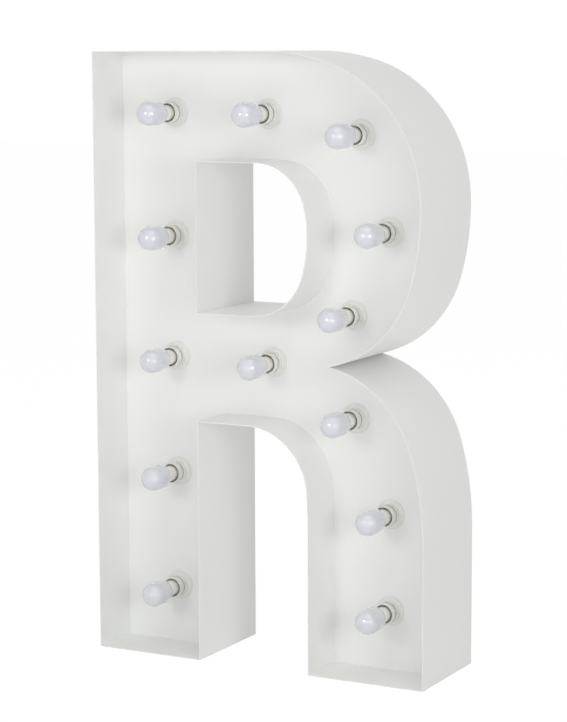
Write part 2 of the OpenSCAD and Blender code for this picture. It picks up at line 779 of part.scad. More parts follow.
module holder_collars() {
    color("antiquewhite") for (site = bulb_sites)
        at_site(site) turned([
            [upstand_r + holder_gap, collar_foot], [collar_r, collar_foot],
            [collar_r, collar_h - lip_edge], [collar_r - lip_edge, collar_h],
            [collar_r - lip_t, collar_h], [collar_r - lip_t, collar_shelf],
            [upstand_r - ledge_w, collar_shelf + ledge_t], [upstand_r - ledge_w, collar_shelf],
            [upstand_r + holder_gap, collar_shelf]]);
}

module holder_sleeves() {
    color("goldenrod") for (site = bulb_sites)
        at_site(site) translate([0, 0, sleeve_foot]) difference() {
            cylinder(r = socket_r - holder_gap, h = sleeve_len);
            translate([0, 0, -over]) cylinder(r = sleeve_in_r, h = sleeve_len + 2 * over);
        }
}

module holder_contacts() {
    color("goldenrod") for (site = bulb_sites)
        at_site(site) turned([
            [0, -socket_floor], [contact_foot_r, -socket_floor],
            [contact_foot_r, contact_foot_t - socket_floor], [contact_stem_r, contact_foot_t - socket_floor],
            [contact_stem_r, contact_top - 2 * contact_pad_t], [contact_r, contact_top - contact_pad_t],
            [contact_r, contact_top], [0, contact_top]]);
}

module holder_nuts() {
    color("antiquewhite") for (site = bulb_sites)
        at_site(site) translate([0, 0, -panel_t - ring_nut_t]) difference() {
            cylinder(r = ring_nut_r, h = ring_nut_t);
            translate([0, 0, -over]) cylinder(r = spigot_r + holder_gap, h = ring_nut_t + 2 * over);
        }
}

// Outline of the diffuser moved in by t, from the neck's end round to the tip
function globe_outline(t) = concat(
    [for (i = [0 : shoulder_steps])
        let (a = shoulder_angle + (90 - shoulder_angle) * i / shoulder_steps)
        [(globe_back_r - t) * sin(a), shoulder_centre - (globe_back_r - t) * cos(a)]],
    [for (i = [0 : dome_steps - 1])
        let (a = 90 * i / dome_steps)
        [(globe_r - t) * cos(a), globe_centre + (globe_r - t) * sin(a)]],
    [[0, globe_tip - t]]);

module bulb(site) {
    outside = globe_outline(0);
    inside = globe_outline(globe_t);
    color("lavender") at_site(site) turned(concat(
        outside, [for (i = [len(inside) - 1 : -1 : 0]) inside[i]]));
}

// Neck and screw cap in one, the thread drawn as plain ridges, with the insulator and the tip below it
module bulb_base(site) {
    root_r = cap_r - thread_h;
    flank = cap_pitch * (1 - crest_share) / 2;
    ridges = [for (i = [0 : cap_turns - 1])
        let (z = cap_foot + cap_plain / 2 + i * cap_pitch)
        each [[root_r, z], [cap_r, z + flank], [cap_r, z + cap_pitch - flank], [root_r, z + cap_pitch]]];
    color("antiquewhite") at_site(site) turned(concat(
        [[0, tip_foot], [tip_r - cap_edge, tip_foot], [tip_r, tip_foot + tip_h],
        [insulator_r, tip_foot + tip_h], [root_r, cap_foot + cap_edge]],
        ridges,
        [[root_r, cap_top], [neck_foot_r, cap_top], [neck_foot_r + neck_flare, collar_h],
        [neck_r, neck_top], [neck_r - globe_t, neck_top], [neck_r - globe_t, collar_h], [0, collar_h]]));
}

// A cable from place a to place b: out at one end, a bend, a straight run, a bend and in at the other
// ya and yb are the depths of its ends, run the depth of its straight stretch
module staple(a, b, ya, yb, run, r, bend) {
    v = b - a;
    back = run > ya ? 1 : -1;
    rise = abs(run - ya);
    end_rise = back * (yb - ya);
    span = norm(v);
    turns_back = end_rise < rise;
    translate([a[0] - letter_w / 2, ya, a[1]])
        rotate([-back * 90, 0, 0]) rotate([0, 0, -back * atan2(v[1], v[0])]) {
            cylinder(r = r, h = rise - bend);
            translate([bend, 0, rise - bend]) quarter_bend(90, r, bend);
            translate([bend, 0, rise]) rotate([0, 90, 0]) cylinder(r = r, h = span - 2 * bend);
            if (turns_back) {
                translate([span - bend, 0, rise - bend]) quarter_bend(0, r, bend);
                translate([span, 0, end_rise]) cylinder(r = r, h = rise - bend - end_rise);
            } else {
                translate([span - bend, 0, rise + bend]) quarter_bend(270, r, bend);
                translate([span, 0, rise + bend]) cylinder(r = r, h = end_rise - rise - bend);
            }
        }
}

module quarter_bend(from, r, bend) {
    rotate([90, 0, 0]) rotate([0, 0, from]) rotate_extrude(angle = 90) translate([bend, 0]) circle(r = r);
}

function toward(a, b) = a + (b - a) / norm(b - a) * cable_shift;
y_holder_back = y_face + spigot_len;
y_cables = y_holder_back + cable_exit + cable_bend;
y_block = y_rear_in - block_d;
block_place = [rear_x, block_z];

module link_cables() {
    color("white") for (i = [0 : len(cable_order) - 2]) {
        a = bulb_sites[cable_order[i]];
        b = bulb_sites[cable_order[i + 1]];
        staple(toward(a, b), toward(b, a), y_holder_back, y_holder_back, y_cables, cable_r, cable_bend);
    }
}

module terminal_block() {
    color("ivory") translate([rear_x - letter_w / 2, y_block, block_z]) difference() {
        translate([-block_w / 2, 0, -block_h / 2]) cube([block_w, block_d, block_h]);
        for (i = [-1 : 1])
            translate([i * port_pitch, -over, 0]) rotate([-90, 0, 0])
                cylinder(r = wire_r + port_gap, h = port_depth + over);
    }
}

// Depths and places of the terminals that the supply wires join
y_inlet_tail = y_rear - inlet_body_d - tail_len;
y_switch_tail = y_rear - switch_d - tail_len;
y_earth = y_rear_in - earth_len;
live_tail = [rear_x - blade_pitch, inlet_z + blade_drop];
neutral_tail = [rear_x + blade_pitch, inlet_z + blade_drop];
earth_tail = [rear_x, inlet_z - blade_drop];
switch_tail = [rear_x, switch_z - switch_half / 2];
switched_tail = [rear_x, switch_z + switch_half / 2];

module supply_wires() {
    y_run = min(y_inlet_tail, y_switch_tail) - wire_bend - wire_exit;
    y_port = y_block + port_depth;
    color("saddlebrown")
        staple(live_tail, switch_tail, y_inlet_tail, y_switch_tail, y_run, wire_r, wire_bend);
    color("saddlebrown")
        staple(switched_tail, block_place - [port_pitch, 0], y_switch_tail, y_port, y_run,
            wire_r, wire_bend);
    color("royalblue")
        staple(neutral_tail, block_place + [port_pitch, 0], y_inlet_tail, y_port, y_run - wire_step,
            wire_r, wire_bend);
    color("limegreen")
        staple(earth_tail, [rear_x, earth_z], y_inlet_tail, y_earth, y_run, wire_r, wire_bend);
    color("white")
        staple(block_place, bulb_sites[feed_site] - [cable_shift, 0], y_port, y_holder_back, y_cables,
            wire_r, wire_bend);
}

module earth_stud() {
    color("silver") at_rear(earth_z) {
        translate([0, 0, -panel_t - earth_len]) cylinder(r = stud_r, h = earth_len + panel_t);
        cylinder(r = head_r, h = head_h);
    }
}

// Mains inlet: flange and shrouded socket, three blades with tails, two screws
module at_blades() {
    for (place = [[-blade_pitch, -blade_drop], [blade_pitch, -blade_drop], [0, blade_drop]])
        translate([place[0], place[1], 0]) children();
}

module inlet_body() {
    color("dimgray") at_rear(inlet_z) difference() {
        union() {
            translate([-inlet_w / 2, -inlet_h / 2, 0]) cube([inlet_w, inlet_h, inlet_t]);
            translate([-inlet_body_w / 2, -inlet_body_h / 2, -inlet_body_d])
                cube([inlet_body_w, inlet_body_h, inlet_body_d + eps]);
        }
        translate([-socket_w / 2, -socket_h / 2, -socket_d])
            cube([socket_w, socket_h, socket_d + inlet_t + over]);
        at_blades() translate([0, 0, -inlet_body_d - over]) linear_extrude(inlet_floor + 2 * over)
            square([blade_t + 2 * blade_gap, blade_w + 2 * blade_gap], center = true);
        for (side = [-1, 1])
            translate([side * inlet_pitch / 2, 0, -over])
                cylinder(r = inlet_screw_r + stud_gap, h = inlet_t + 2 * over);
    }
}

module inlet_pins() {
    color("silver") at_rear(inlet_z) at_blades() {
        translate([0, 0, -inlet_body_d - tail_len]) linear_extrude(inlet_body_d + tail_len - blade_short)
            square([blade_t, blade_w], center = true);
    }
}

module inlet_screws() {
    color("silver") at_rear(inlet_z) for (side = [-1, 1]) translate([side * inlet_pitch / 2, 0, 0]) {
        translate([0, 0, -panel_t - inlet_screw_len])
            cylinder(r = inlet_screw_r, h = panel_t + inlet_screw_len + inlet_t);
        translate([0, 0, inlet_t]) cylinder(r = inlet_head_r, h = inlet_head_h);
    }
}

// Rocker switch: a body with a cavity, a rocker on a pin across it and two tails
module switch_body() {
    color("dimgray") at_rear(switch_z) difference() {
        union() {
            translate([-switch_w / 2 - switch_rim, -switch_half - switch_rim, 0])
                cube([switch_w + 2 * switch_rim, 2 * (switch_half + switch_rim), switch_rim_t]);
            translate([-switch_w / 2, -switch_half, -switch_d])
                cube([switch_w, 2 * switch_half, switch_d + eps]);
        }
        translate([-cavity_w / 2, -cavity_half, -cavity_d])
            cube([cavity_w, 2 * cavity_half, cavity_d + switch_rim_t + over]);
        translate([-switch_w / 2 - over, 0, -pin_drop]) rotate([0, 90, 0])
            cylinder(r = rocker_pin_r + pin_gap, h = switch_w + 2 * over);
    }
}

module switch_rocker() {
    color("black") at_rear(switch_z) translate([0, 0, -pin_drop]) rotate([rocker_tilt, 0, 0]) {
        translate([-rocker_w / 2, 0, 0]) rotate([90, 0, 90]) linear_extrude(rocker_w) polygon([
            [-rocker_half, rocker_high - rocker_end_t], [-rocker_half, rocker_high], [0, rocker_mid],
            [rocker_half, rocker_high], [rocker_half, rocker_high - rocker_end_t],
            [rocker_heel, -rocker_deep], [-rocker_heel, -rocker_deep]]);
        translate([pin_short - switch_w / 2, 0, 0]) rotate([0, 90, 0])
            cylinder(r = rocker_pin_r, h = switch_w - 2 * pin_short);
    }
}

module switch_tabs() {
    color("silver") at_rear(switch_z) for (side = [-1, 1])
        translate([0, side * switch_half / 2, -switch_d - tail_len])
            linear_extrude(tail_len) square([spade_w, spade_t], center = true);
}

spine_return();
bowl_return();
leg_upper_return();
leg_lower_return();
leg_foot();
arch_return();
stem_inner_return();
stem_foot();
counter_spine_return();
counter_bowl_return();
face_panel();
rear_panel();
panel_tabs();
panel_studs();
panel_nuts();
rear_tabs();
rear_screws();
holder_bases();
holder_collars();
holder_sleeves();
holder_contacts();
holder_nuts();
link_cables();
terminal_block();
supply_wires();
earth_stud();
inlet_body();
inlet_pins();
inlet_screws();
switch_body();
switch_rocker();
switch_tabs();
for (i = [0 : len(bulb_sites) - 1]) {
    bulb(bulb_sites[i]);
    bulb_base(bulb_sites[i]);
}
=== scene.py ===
import json
import math

import bpy
from mathutils import Matrix, Vector


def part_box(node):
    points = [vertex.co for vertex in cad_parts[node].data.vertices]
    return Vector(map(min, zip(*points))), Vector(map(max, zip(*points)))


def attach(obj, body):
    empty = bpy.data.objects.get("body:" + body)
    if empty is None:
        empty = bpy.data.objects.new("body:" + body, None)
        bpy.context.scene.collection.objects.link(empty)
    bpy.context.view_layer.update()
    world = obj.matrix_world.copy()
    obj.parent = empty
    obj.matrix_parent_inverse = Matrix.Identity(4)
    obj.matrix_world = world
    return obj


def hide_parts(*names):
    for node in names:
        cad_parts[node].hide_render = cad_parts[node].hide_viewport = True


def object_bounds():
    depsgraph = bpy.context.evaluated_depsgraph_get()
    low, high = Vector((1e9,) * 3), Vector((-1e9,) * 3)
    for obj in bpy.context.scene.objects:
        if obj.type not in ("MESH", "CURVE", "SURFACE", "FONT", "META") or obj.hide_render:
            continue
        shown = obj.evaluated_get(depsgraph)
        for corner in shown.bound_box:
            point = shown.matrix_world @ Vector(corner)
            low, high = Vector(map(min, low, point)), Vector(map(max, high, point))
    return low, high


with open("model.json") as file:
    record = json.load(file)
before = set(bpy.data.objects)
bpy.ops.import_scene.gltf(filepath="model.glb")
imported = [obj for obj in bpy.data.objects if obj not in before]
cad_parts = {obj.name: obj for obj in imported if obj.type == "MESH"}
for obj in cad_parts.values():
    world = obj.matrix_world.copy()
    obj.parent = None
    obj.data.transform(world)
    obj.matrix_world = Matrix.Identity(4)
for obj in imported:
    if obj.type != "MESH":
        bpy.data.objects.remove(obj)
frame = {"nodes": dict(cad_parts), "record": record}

cad_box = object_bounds()

# Sizes are in millimetres, places come from the frame, and Blender's units are metres
MM = 0.001
NODES = frame["nodes"]
NUMBERS = [f"{i:02d}" for i in range(1, 14)]

# Planes of the letter
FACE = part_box("face_panel")[0].y
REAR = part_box("rear_panel")[1].y
FLOOR = cad_box[0].z

# Bulb, by distance in front of the face panel
GLOBE_R = 24.3
GLOBE_BACK_R = 23.5
GLOBE_CENTRE = 100.0
SHOULDER_CENTRE = 75.0
GLOBE_WALL = 1.4
NECK_R = 16.4
NECK_LAND = 1.2
NECK_FOOT_R = 14.4
NECK_MOUTH_R = 14.6
CAP_TOP = 26.0
CAP_FOOT = 7.3
CAP_ROOT_R = 12.2
CAP_EDGE = 0.6
CAP_EDGE_H = 0.8
CAP_CLEAR = 0.2
INSULATOR_R = 9.2
INSULATOR_FOOT_R = 8.0
INSULATOR_DISH = 0.6
INSULATOR_CLEAR = 0.4
TIP_FOOT = 1.3
TIP_R = 4.8
TIP_H = 1.5
TIP_CROWN = 0.1

# Rim of the solder button: how far in from its edge, and how high
TIP_RIM = ((1.4, 0.1), (0.3, 0.7))

# Rolled thread of the cap, its start counted from the cap's foot, its crest and end as shares of the pitch
CAP_CREST_R = 13.1
CAP_PITCH = 3.63
CAP_TURNS = 4
THREAD_START = 1.0
THREAD_SINK = 0.3
THREAD_CREST = (0.35, 0.65)
THREAD_END = 0.98

# Lampholder, by distance in front of the face panel
SEAT = 0.02
FLANGE_R = 29.5
FLANGE_T = 3.0
FLANGE_EDGE = 1.2
BARREL_R = 20.3
BARREL_FILLET = 1.4
BARREL_TOP = 15.5
COLLAR_FOOT = 16.4
COLLAR_R = 20.0
COLLAR_TOP = 33.0
LIP_T = 1.4
SEAM_EDGE = 1.8
SEAM_DEPTH = 3.9
SHELF = 19.0
LEDGE_W = 1.2
LEDGE_RISE = 1.4
UPSTAND_R = 16.8
UPSTAND_GAP = 0.2
SOCKET_R = 14.3
SPIGOT_R = 17.5
SPIGOT_END = -15.0
SOCKET_FLOOR = -6.0

# Screws behind the letter, lengths counted from under the head
SCREW_HEAD_R = 4.0
SCREW_HEAD_H = 2.4
SCREW_R = 2.0
SCREW_LEN = 9.0
EARTH_LEN = 17.5
INLET_HEAD_R = 3.0
INLET_HEAD_H = 1.8
INLET_SCREW_R = 1.5
INLET_SCREW_LEN = 10.0
INLET_T = 2.5
INLET_CORNER_R = 3.0
SCREW_POINT = 0.4

# Screw heads: the dome's edge and the cross recess as shares of the head, and the turn from screw
# to screw in radians
HEAD_EDGE = 0.3
RECESS_SPAN = 1.15
RECESS_DEPTH = 1.3
RECESS_WIDTH = 0.26
RECESS_TAPER = 0.5
SCREW_TURN = 0.7

# Sheet, and the share of a normal along the depth below which a face looks sideways
WALL_EASE = 0.35
PANEL_GAP = 0.5
SIDEWAYS = 0.5

# How close points are that get welded, in spun pieces and in copies of solids, and what counts as
# on an edge
SPIN_WELD = 0.002
COPY_WELD = 0.005
ON_EDGE = 0.05

# Angles between faces, in degrees: up to the first they make one flat face, and from the second on
# the edge between them is eased
FLAT_ANGLE = 0.1
SHARP_ANGLE = 45

# Where the two tones of a mottled colour begin and end, as shares of the noise
PATCH_EDGES = (0.3, 0.7)

# Stage: the paper's glow to the camera and its share, the paper's width in metres, and the blend between
# two walls of the room
PAPER_GLOW = 1.06
PAPER_SHARE = 0.88
PAPER_SPAN = 40
WALL_BLEND = 0.05

# Camera, as fitted to the photo, in metres, millimetres of lens and degrees
EYE = (2.1018, -3.89655, 1.2104)
TARGET = (0.065157, -0.10835, 0.612708)
SENSOR = 36
LENS = 113.287
ROLL = -0.206


def site(number):
    """Where a bulb's axis meets the face panel."""
    low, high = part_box("bulb_" + number)
    return Vector(((low.x + high.x) / 2, FACE, (low.z + high.z) / 2))


SITE = {number: site(number) for number in NUMBERS}
FIRST = SITE["01"]


# Modelling helpers, each one a thing done by hand in edit mode


def deselect():
    bpy.ops.object.select_all(action="DESELECT")


def pick(piece):
    """Selects one piece alone and makes it the active one."""
    deselect()
    piece.select_set(True)
    bpy.context.view_layer.objects.active = piece


def edit(piece):
    """Opens one piece in edit mode with everything on it selected."""
    pick(piece)
    bpy.ops.object.mode_set(mode="EDIT")
    bpy.ops.mesh.select_mode(type="VERT")
    bpy.ops.mesh.select_all(action="SELECT")


def leave():
    bpy.ops.object.mode_set(mode="OBJECT")


def choose(piece, kind, test):
    """Opens one piece in edit mode with only those points, edges or faces selected that pass a test."""
    edit(piece)
    bpy.ops.mesh.select_mode(type=kind)
    bpy.ops.mesh.select_all(action="DESELECT")
    leave()
    mesh = piece.data
    for item in {"VERT": mesh.vertices, "EDGE": mesh.edges, "FACE": mesh.polygons}[kind]:
        item.select = test(item)
    bpy.ops.object.mode_set(mode="EDIT")


def apply_modifier(piece, kind, **settings):
    """Adds one modifier to a piece, sets it and applies it."""
    pick(piece)
    modifier = piece.modifiers.new(kind.title(), kind)
    for name, value in settings.items():
        setattr(modifier, name, value)
    bpy.ops.object.modifier_apply(modifier=modifier.name)


def settle(piece):
    """Puts a piece's place into its mesh, so that its object sits at the origin."""
    pick(piece)
    bpy.ops.object.transform_apply(location=True, rotation=True, scale=True)


def smooth(piece, degrees):
    """Smooth shading with edges that stay crisp past an angle."""
    pick(piece)
    bpy.ops.object.shade_smooth_by_angle(angle=math.radians(degrees))


def round_edges(piece, width, segments, degrees):
    """Rounds the edges of a lathe piece that are sharper than an angle."""
    apply_modifier(piece, "BEVEL", width=width * MM, segments=segments, limit_method="ANGLE",
                   angle_limit=math.radians(degrees))


def pulled(name, points):
    """A line of edges: one point, pulled on from place to place. The piece is left open in edit mode."""
    deselect()
    bpy.ops.mesh.primitive_plane_add(size=MM, location=points[0])
    piece = bpy.context.object
    piece.name = piece.data.name = name
    settle(piece)
    edit(piece)
    bpy.ops.mesh.merge(type="CENTER")
    for here, there in zip(points, points[1:]):
        bpy.ops.mesh.extrude_vertices_move(TRANSFORM_OT_translate={"value": there - here})
    bpy.ops.mesh.select_all(action="SELECT")
    return piece


def turned(name, profile, axis_place, steps=64):
    """A lathe piece: a profile of radius and forward distance, spun about Y.

    The profile is in millimetres, with its distances counted forward from axis_place.
    """
    centre = Vector(axis_place)
    piece = pulled(name, [centre + Vector((r * MM, -p * MM, 0)) for r, p in profile])
    bpy.ops.mesh.spin(steps=steps, angle=math.tau, center=centre, axis=(0, 1, 0))
    bpy.ops.mesh.select_all(action="SELECT")
    bpy.ops.mesh.remove_doubles(threshold=SPIN_WELD * MM)
    bpy.ops.mesh.normals_make_consistent(inside=False)
    leave()
    return piece


def arc(r, centre, start, end, count):
    """Profile points of a round stretch, by angle from straight out (0) to straight forward (90)."""
    angles = [math.radians(start + (end - start) * i / count) for i in range(count + 1)]
    return [(max(0.0, r * math.cos(a)), centre + r * math.sin(a)) for a in angles]


def copy_to(piece, name, shift):
    """A copy of a piece with its own mesh, moved by shift."""
    pick(piece)
    bpy.ops.object.duplicate()
    copied = bpy.context.object
    copied.name = copied.data.name = name
    bpy.ops.transform.translate(value=shift)
    settle(copied)
    return copied


def finish_piece(piece, material, body, node):
    """Gives a piece its material, hangs it from its body's empty and hides the CAD node that it stands for.
    """
    piece.data.materials.clear()
    piece.data.materials.append(material)
    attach(piece, body)
    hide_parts(node)


# Materials


def linear(code):
    """Linear colour of an sRGB hex value."""
    parts = [int(code[i:i + 2], 16) / 255 for i in (1, 3, 5)]
    return [c / 12.92 if c <= 0.04045 else ((c + 0.055) / 1.055) ** 2.4 for c in parts] + [1.0]


def add(tree, kind, settings=None, links=None):
    """Adds a node, sets its inputs and properties by name, and links other nodes' outputs to its inputs."""
    made = tree.nodes.new(kind)
    for name, value in (settings or {}).items():
        if isinstance(name, int) or name in made.inputs:
            made.inputs[name].default_value = value
        else:
            setattr(made, name, value)
    for name, source in (links or {}).items():
        tree.links.new(source, made.inputs[name])
    return made


def surface(name, **sockets):
    """A material with one Principled shader; the sockets that are the same all over are set on it."""
    material = bpy.data.materials.new(name)
    material.use_nodes = True
    shader = material.node_tree.nodes["Principled BSDF"]
    for socket, value in sockets.items():
        shader.inputs[socket.replace("_", " ")].default_value = value
    return material, material.node_tree, shader


def speckle(tree, place, size_mm):
    """Noise whose patches have a real size."""
    noise = add(tree, "ShaderNodeTexNoise", {"Scale": 1 / (size_mm * MM)},
                {"Vector": place.outputs["Object"]})
    return noise.outputs["Fac"]


def mottled(tree, shader, patch_mm, tones):
    """Colour that drifts between two close tones over patches of a real size."""
    place = add(tree, "ShaderNodeTexCoord")
    ramp = add(tree, "ShaderNodeValToRGB", None, {"Fac": speckle(tree, place, patch_mm)})
    for stop, position, tone in zip(ramp.color_ramp.elements, PATCH_EDGES, tones):
        stop.position = position
        stop.color = linear(tone)
    tree.links.new(ramp.outputs["Color"], shader.inputs["Base Color"])
    return place


def grained(tree, shader, place, grain_mm, height_mm, rough):
    """Bump from a grain of a real size, with roughness that follows it from end to end of a range."""
    grain = speckle(tree, place, grain_mm)
    spread = add(tree, "ShaderNodeMapRange", {"To Min": rough[0], "To Max": rough[1]}, {"Value": grain})
    tree.links.new(spread.outputs["Result"], shader.inputs["Roughness"])
    bump = add(tree, "ShaderNodeBump", {"Strength": 1.0, "Distance": height_mm * MM}, {"Height": grain})
    tree.links.new(bump.outputs["Normal"], shader.inputs["Normal"])


def powder_coat():
    # Polyester powder coat baked on steel sheet: a satin white skin with a faint orange peel,
    # drawn about three times as coarse as it is, because the real one is finer than a pixel
    material, tree, shader = surface("white_powder_coat", IOR=1.5)
    place = mottled(tree, shader, patch_mm=220, tones=("#F4F5F3", "#F6F6F4"))
    grained(tree, shader, place, grain_mm=3.5, height_mm=0.02, rough=(0.42, 0.55))
    return material


def opal_diffuser():
    # Opal polycarbonate: a cool milky body that light sinks into and scatters through, under a glossy skin
    material, tree, shader = surface("opal_polycarbonate", IOR=1.58, Coat_Weight=1.0, Coat_Roughness=0.08,
                                     Subsurface_Weight=0.7, Subsurface_Scale=0.015,
                                     Subsurface_Radius=(1.0, 1.0, 1.1))
    place = mottled(tree, shader, patch_mm=12, tones=("#D9DAE1", "#DCDDE3"))
    grained(tree, shader, place, grain_mm=0.8, height_mm=0.001, rough=(0.09, 0.14))
    return material


def neck_moulding():
    # Injection-moulded PBT housing: warm grey white, satin, with the fine grain of the mould
    material, tree, shader = surface("moulded_pbt", IOR=1.54)
    place = mottled(tree, shader, patch_mm=9, tones=("#EFEEE8", "#F2F1EB"))
    grained(tree, shader, place, grain_mm=0.5, height_mm=0.006, rough=(0.38, 0.5))
    return material


def holder_moulding():
    # Urea-formaldehyde lampholder: a hard off-white thermoset with a low polish from its mould
    material, tree, shader = surface("moulded_urea", IOR=1.55)
    place = mottled(tree, shader, patch_mm=14, tones=("#E9E9E4", "#ECECE7"))
    grained(tree, shader, place, grain_mm=0.7, height_mm=0.006, rough=(0.34, 0.46))
    return material


def plated_metal(name, tones, rough, grain_mm):
    """A metal whose tone and gloss drift a little from place to place."""
    material, tree, shader = surface(name, Metallic=1.0)
    place = mottled(tree, shader, patch_mm=5, tones=tones)
    grained(tree, shader, place, grain_mm, height_mm=0.004, rough=rough)
    return material


def nickel_plate():
    # Nickel-plated brass cap: a bright, slightly warm metal, rolled to its thread
    return plated_metal("nickel_plated_brass", ("#C9C5BD", "#D6D3CC"), rough=(0.18, 0.3), grain_mm=0.8)


def zinc_plate():
    # Zinc-plated steel: a bluish grey metal, dulled by its passivation in small clouds
    return plated_metal("zinc_plated_steel", ("#A9ADB2", "#BFC2C5"), rough=(0.3, 0.5), grain_mm=1.2)


def plain_brass():
    # Drawn brass sheet: yellow metal with a faint haze of tarnish
    return plated_metal("drawn_brass", ("#C39B4E", "#D4B36A"), rough=(0.22, 0.4), grain_mm=1.0)


def solder():
    # Tinned contact: grey solder, dull, with a wavy skin
    return plated_metal("tin_solder", ("#9A9C9E", "#B0B1B2"), rough=(0.35, 0.55), grain_mm=1.5)


def moulding(name, tones, rough, grain_mm, height_mm):
    """A plastic or glass that keeps a grain from its making."""
    material, tree, shader = surface(name, IOR=1.53)
    place = mottled(tree, shader, patch_mm=11, tones=tones)
    grained(tree, shader, place, grain_mm, height_mm, rough)
    return material


def cap_glass():
    # Vitrified glass insulator of a screw cap: near black, smooth
    return moulding("black_glass_insulator", ("#15131A", "#1E1B24"), rough=(0.12, 0.2),
                    grain_mm=2.0, height_mm=0.005)


def inlet_plastic():
    # Glass-filled nylon of inlet and switch: black, spark-eroded to a fine matt grain
    return moulding("black_glass_filled_nylon", ("#17181A", "#1F2022"), rough=(0.5, 0.65),
                    grain_mm=0.8, height_mm=0.02)


def rocker_plastic():
    # ABS rocker: black, polished in the mould
    return moulding("black_abs", ("#0F0F10", "#161617"), rough=(0.2, 0.3),
                    grain_mm=1.2, height_mm=0.004)


def cable_sheath():
    # White PVC sheath, extruded: matt, with a faint draw along it
    return moulding("white_pvc_sheath", ("#DCDBD6", "#E4E3DE"), rough=(0.5, 0.62),
                    grain_mm=1.5, height_mm=0.02)


def wire_sheath():
    # Brown PVC wire sheath, extruded
    return moulding("brown_pvc_sheath", ("#5A3A26", "#67452E"), rough=(0.42, 0.55),
                    grain_mm=1.0, height_mm=0.01)


def block_plastic():
    # Natural polyamide of a terminal block: ivory, faintly waxy
    return moulding("ivory_polyamide", ("#E2DDCB", "#E9E5D5"), rough=(0.4, 0.52),
                    grain_mm=0.9, height_mm=0.01)


powder = powder_coat()
opal = opal_diffuser()
neck_plastic = neck_moulding()
holder_plastic = holder_moulding()
nickel = nickel_plate()
zinc = zinc_plate()
brass = plain_brass()
tin = solder()
glass = cap_glass()
black = inlet_plastic()
rocker_black = rocker_plastic()
cable_white = cable_sheath()
wire_brown = wire_sheath()
block_ivory = block_plastic()

# CAD nodes whose shape is right keep it and get their finish
FINISHES = {"white_paint": powder, "zinc_steel": zinc, "holder_plastic": holder_plastic, "brass": brass,
            "diffuser": opal, "bulb_base": neck_plastic, "cable_sheath": cable_white,
            "wire_sheath": wire_brown, "block_plastic": block_ivory, "black_plastic": black,
            "rocker_plastic": rocker_black}
for part in frame["record"]["subparts"]:
    NODES[part["node"]].material_slots[0].material = FINISHES[part["material_slot"]]


# Sheet walls: the CAD strips with their cut edges eased, as the coat rounds them

WALLS = ["spine_return", "bowl_return", "leg_upper_return", "leg_lower_return", "leg_foot", "arch_return",
         "stem_inner_return", "stem_foot", "counter_spine_return", "counter_bowl_return"]


def solid_copy(node, name):
    """A copy of a CAD node's mesh, welded, with its flat faces in one piece each."""
    piece = bpy.data.objects.new(name, NODES[node].data.copy())
    bpy.context.scene.collection.objects.link(piece)
    edit(piece)
    bpy.ops.mesh.customdata_custom_splitnormals_clear()
    bpy.ops.mesh.remove_doubles(threshold=COPY_WELD * MM)
    bpy.ops.mesh.dissolve_limited(angle_limit=math.radians(FLAT_ANGLE))
    leave()
    return piece


def ease_edges(piece, width):
    """Rounds every sharp edge of a piece, and shades its flat faces flat up to the rounding."""
    edit(piece)
    bpy.ops.mesh.select_all(action="DESELECT")
    bpy.ops.mesh.select_mode(type="EDGE")
    bpy.ops.mesh.edges_select_sharp(sharpness=math.radians(SHARP_ANGLE))
    bpy.ops.mesh.bevel(offset=width * MM, segments=2, affect="EDGES")
    leave()
    smooth(piece, degrees=30)
    apply_modifier(piece, "WEIGHTED_NORMAL", mode="FACE_AREA", weight=50, keep_sharp=True)


for node in WALLS:
    wall = solid_copy(node, node.replace("return", "wall"))
    ease_edges(wall, WALL_EASE)
    finish_piece(wall, powder, "letter", node)


def fitted_panel():
    """The face panel grown to the walls, as the coat bridges the joint that it leaves."""
    panel = solid_copy("face_panel", "face_sheet")

    def on_outline(face):
        clear = min((face.center - place).xz.length for place in SITE.values())
        return abs(face.normal.y) < SIDEWAYS and clear > FLANGE_R * MM

    choose(panel, "FACE", on_outline)
    bpy.ops.transform.shrink_fatten(value=PANEL_GAP * MM, use_even_offset=True)
    leave()
    smooth(panel, degrees=30)
    finish_piece(panel, powder, "letter", "face_panel")


fitted_panel()


# Bulbs and lampholders: each is modelled once, at the first bulb, and copied to the others


def diffuser():
    """The globe, filled down to just above the neck, so that light scatters through it."""
    shoulder = -math.degrees(math.acos(NECK_R / GLOBE_BACK_R))
    back = arc(GLOBE_BACK_R, SHOULDER_CENTRE, shoulder, 0, count=10)
    dome = arc(GLOBE_R, GLOBE_CENTRE, 0, 90, count=20)
    foot = back[0][1] + GLOBE_WALL
    globe = turned("diffuser_01", [(0, foot), (NECK_R - GLOBE_WALL, foot)] + back + dome, FIRST)
    smooth(globe, degrees=40)
    return globe


def neck():
    """The plain housing between cap and globe."""
    top = SHOULDER_CENTRE - math.sqrt(GLOBE_BACK_R ** 2 - NECK_R ** 2)
    inside = NECK_R - GLOBE_WALL
    profile = [(CAP_ROOT_R, CAP_TOP), (NECK_FOOT_R, CAP_TOP), (NECK_MOUTH_R, COLLAR_TOP),
               (NECK_R, top - NECK_LAND), (NECK_R, top),
               (inside, top), (inside, COLLAR_TOP), (0, COLLAR_TOP)]
    housing = turned("bulb_neck_01", profile, FIRST)
    round_edges(housing, width=0.5, segments=3, degrees=40)
    smooth(housing, degrees=35)
    return housing


def screw_cap():
    """The cap's shell, up to the root of its thread."""
    top = CAP_TOP - CAP_CLEAR
    profile = [(0, CAP_FOOT + CAP_CLEAR), (INSULATOR_R, CAP_FOOT - CAP_EDGE),
               (CAP_ROOT_R - CAP_EDGE, CAP_FOOT), (CAP_ROOT_R, CAP_FOOT + CAP_EDGE_H),
               (CAP_ROOT_R, top), (0, top)]
    shell = turned("bulb_cap_01", profile, FIRST)
    smooth(shell, degrees=35)
    return shell


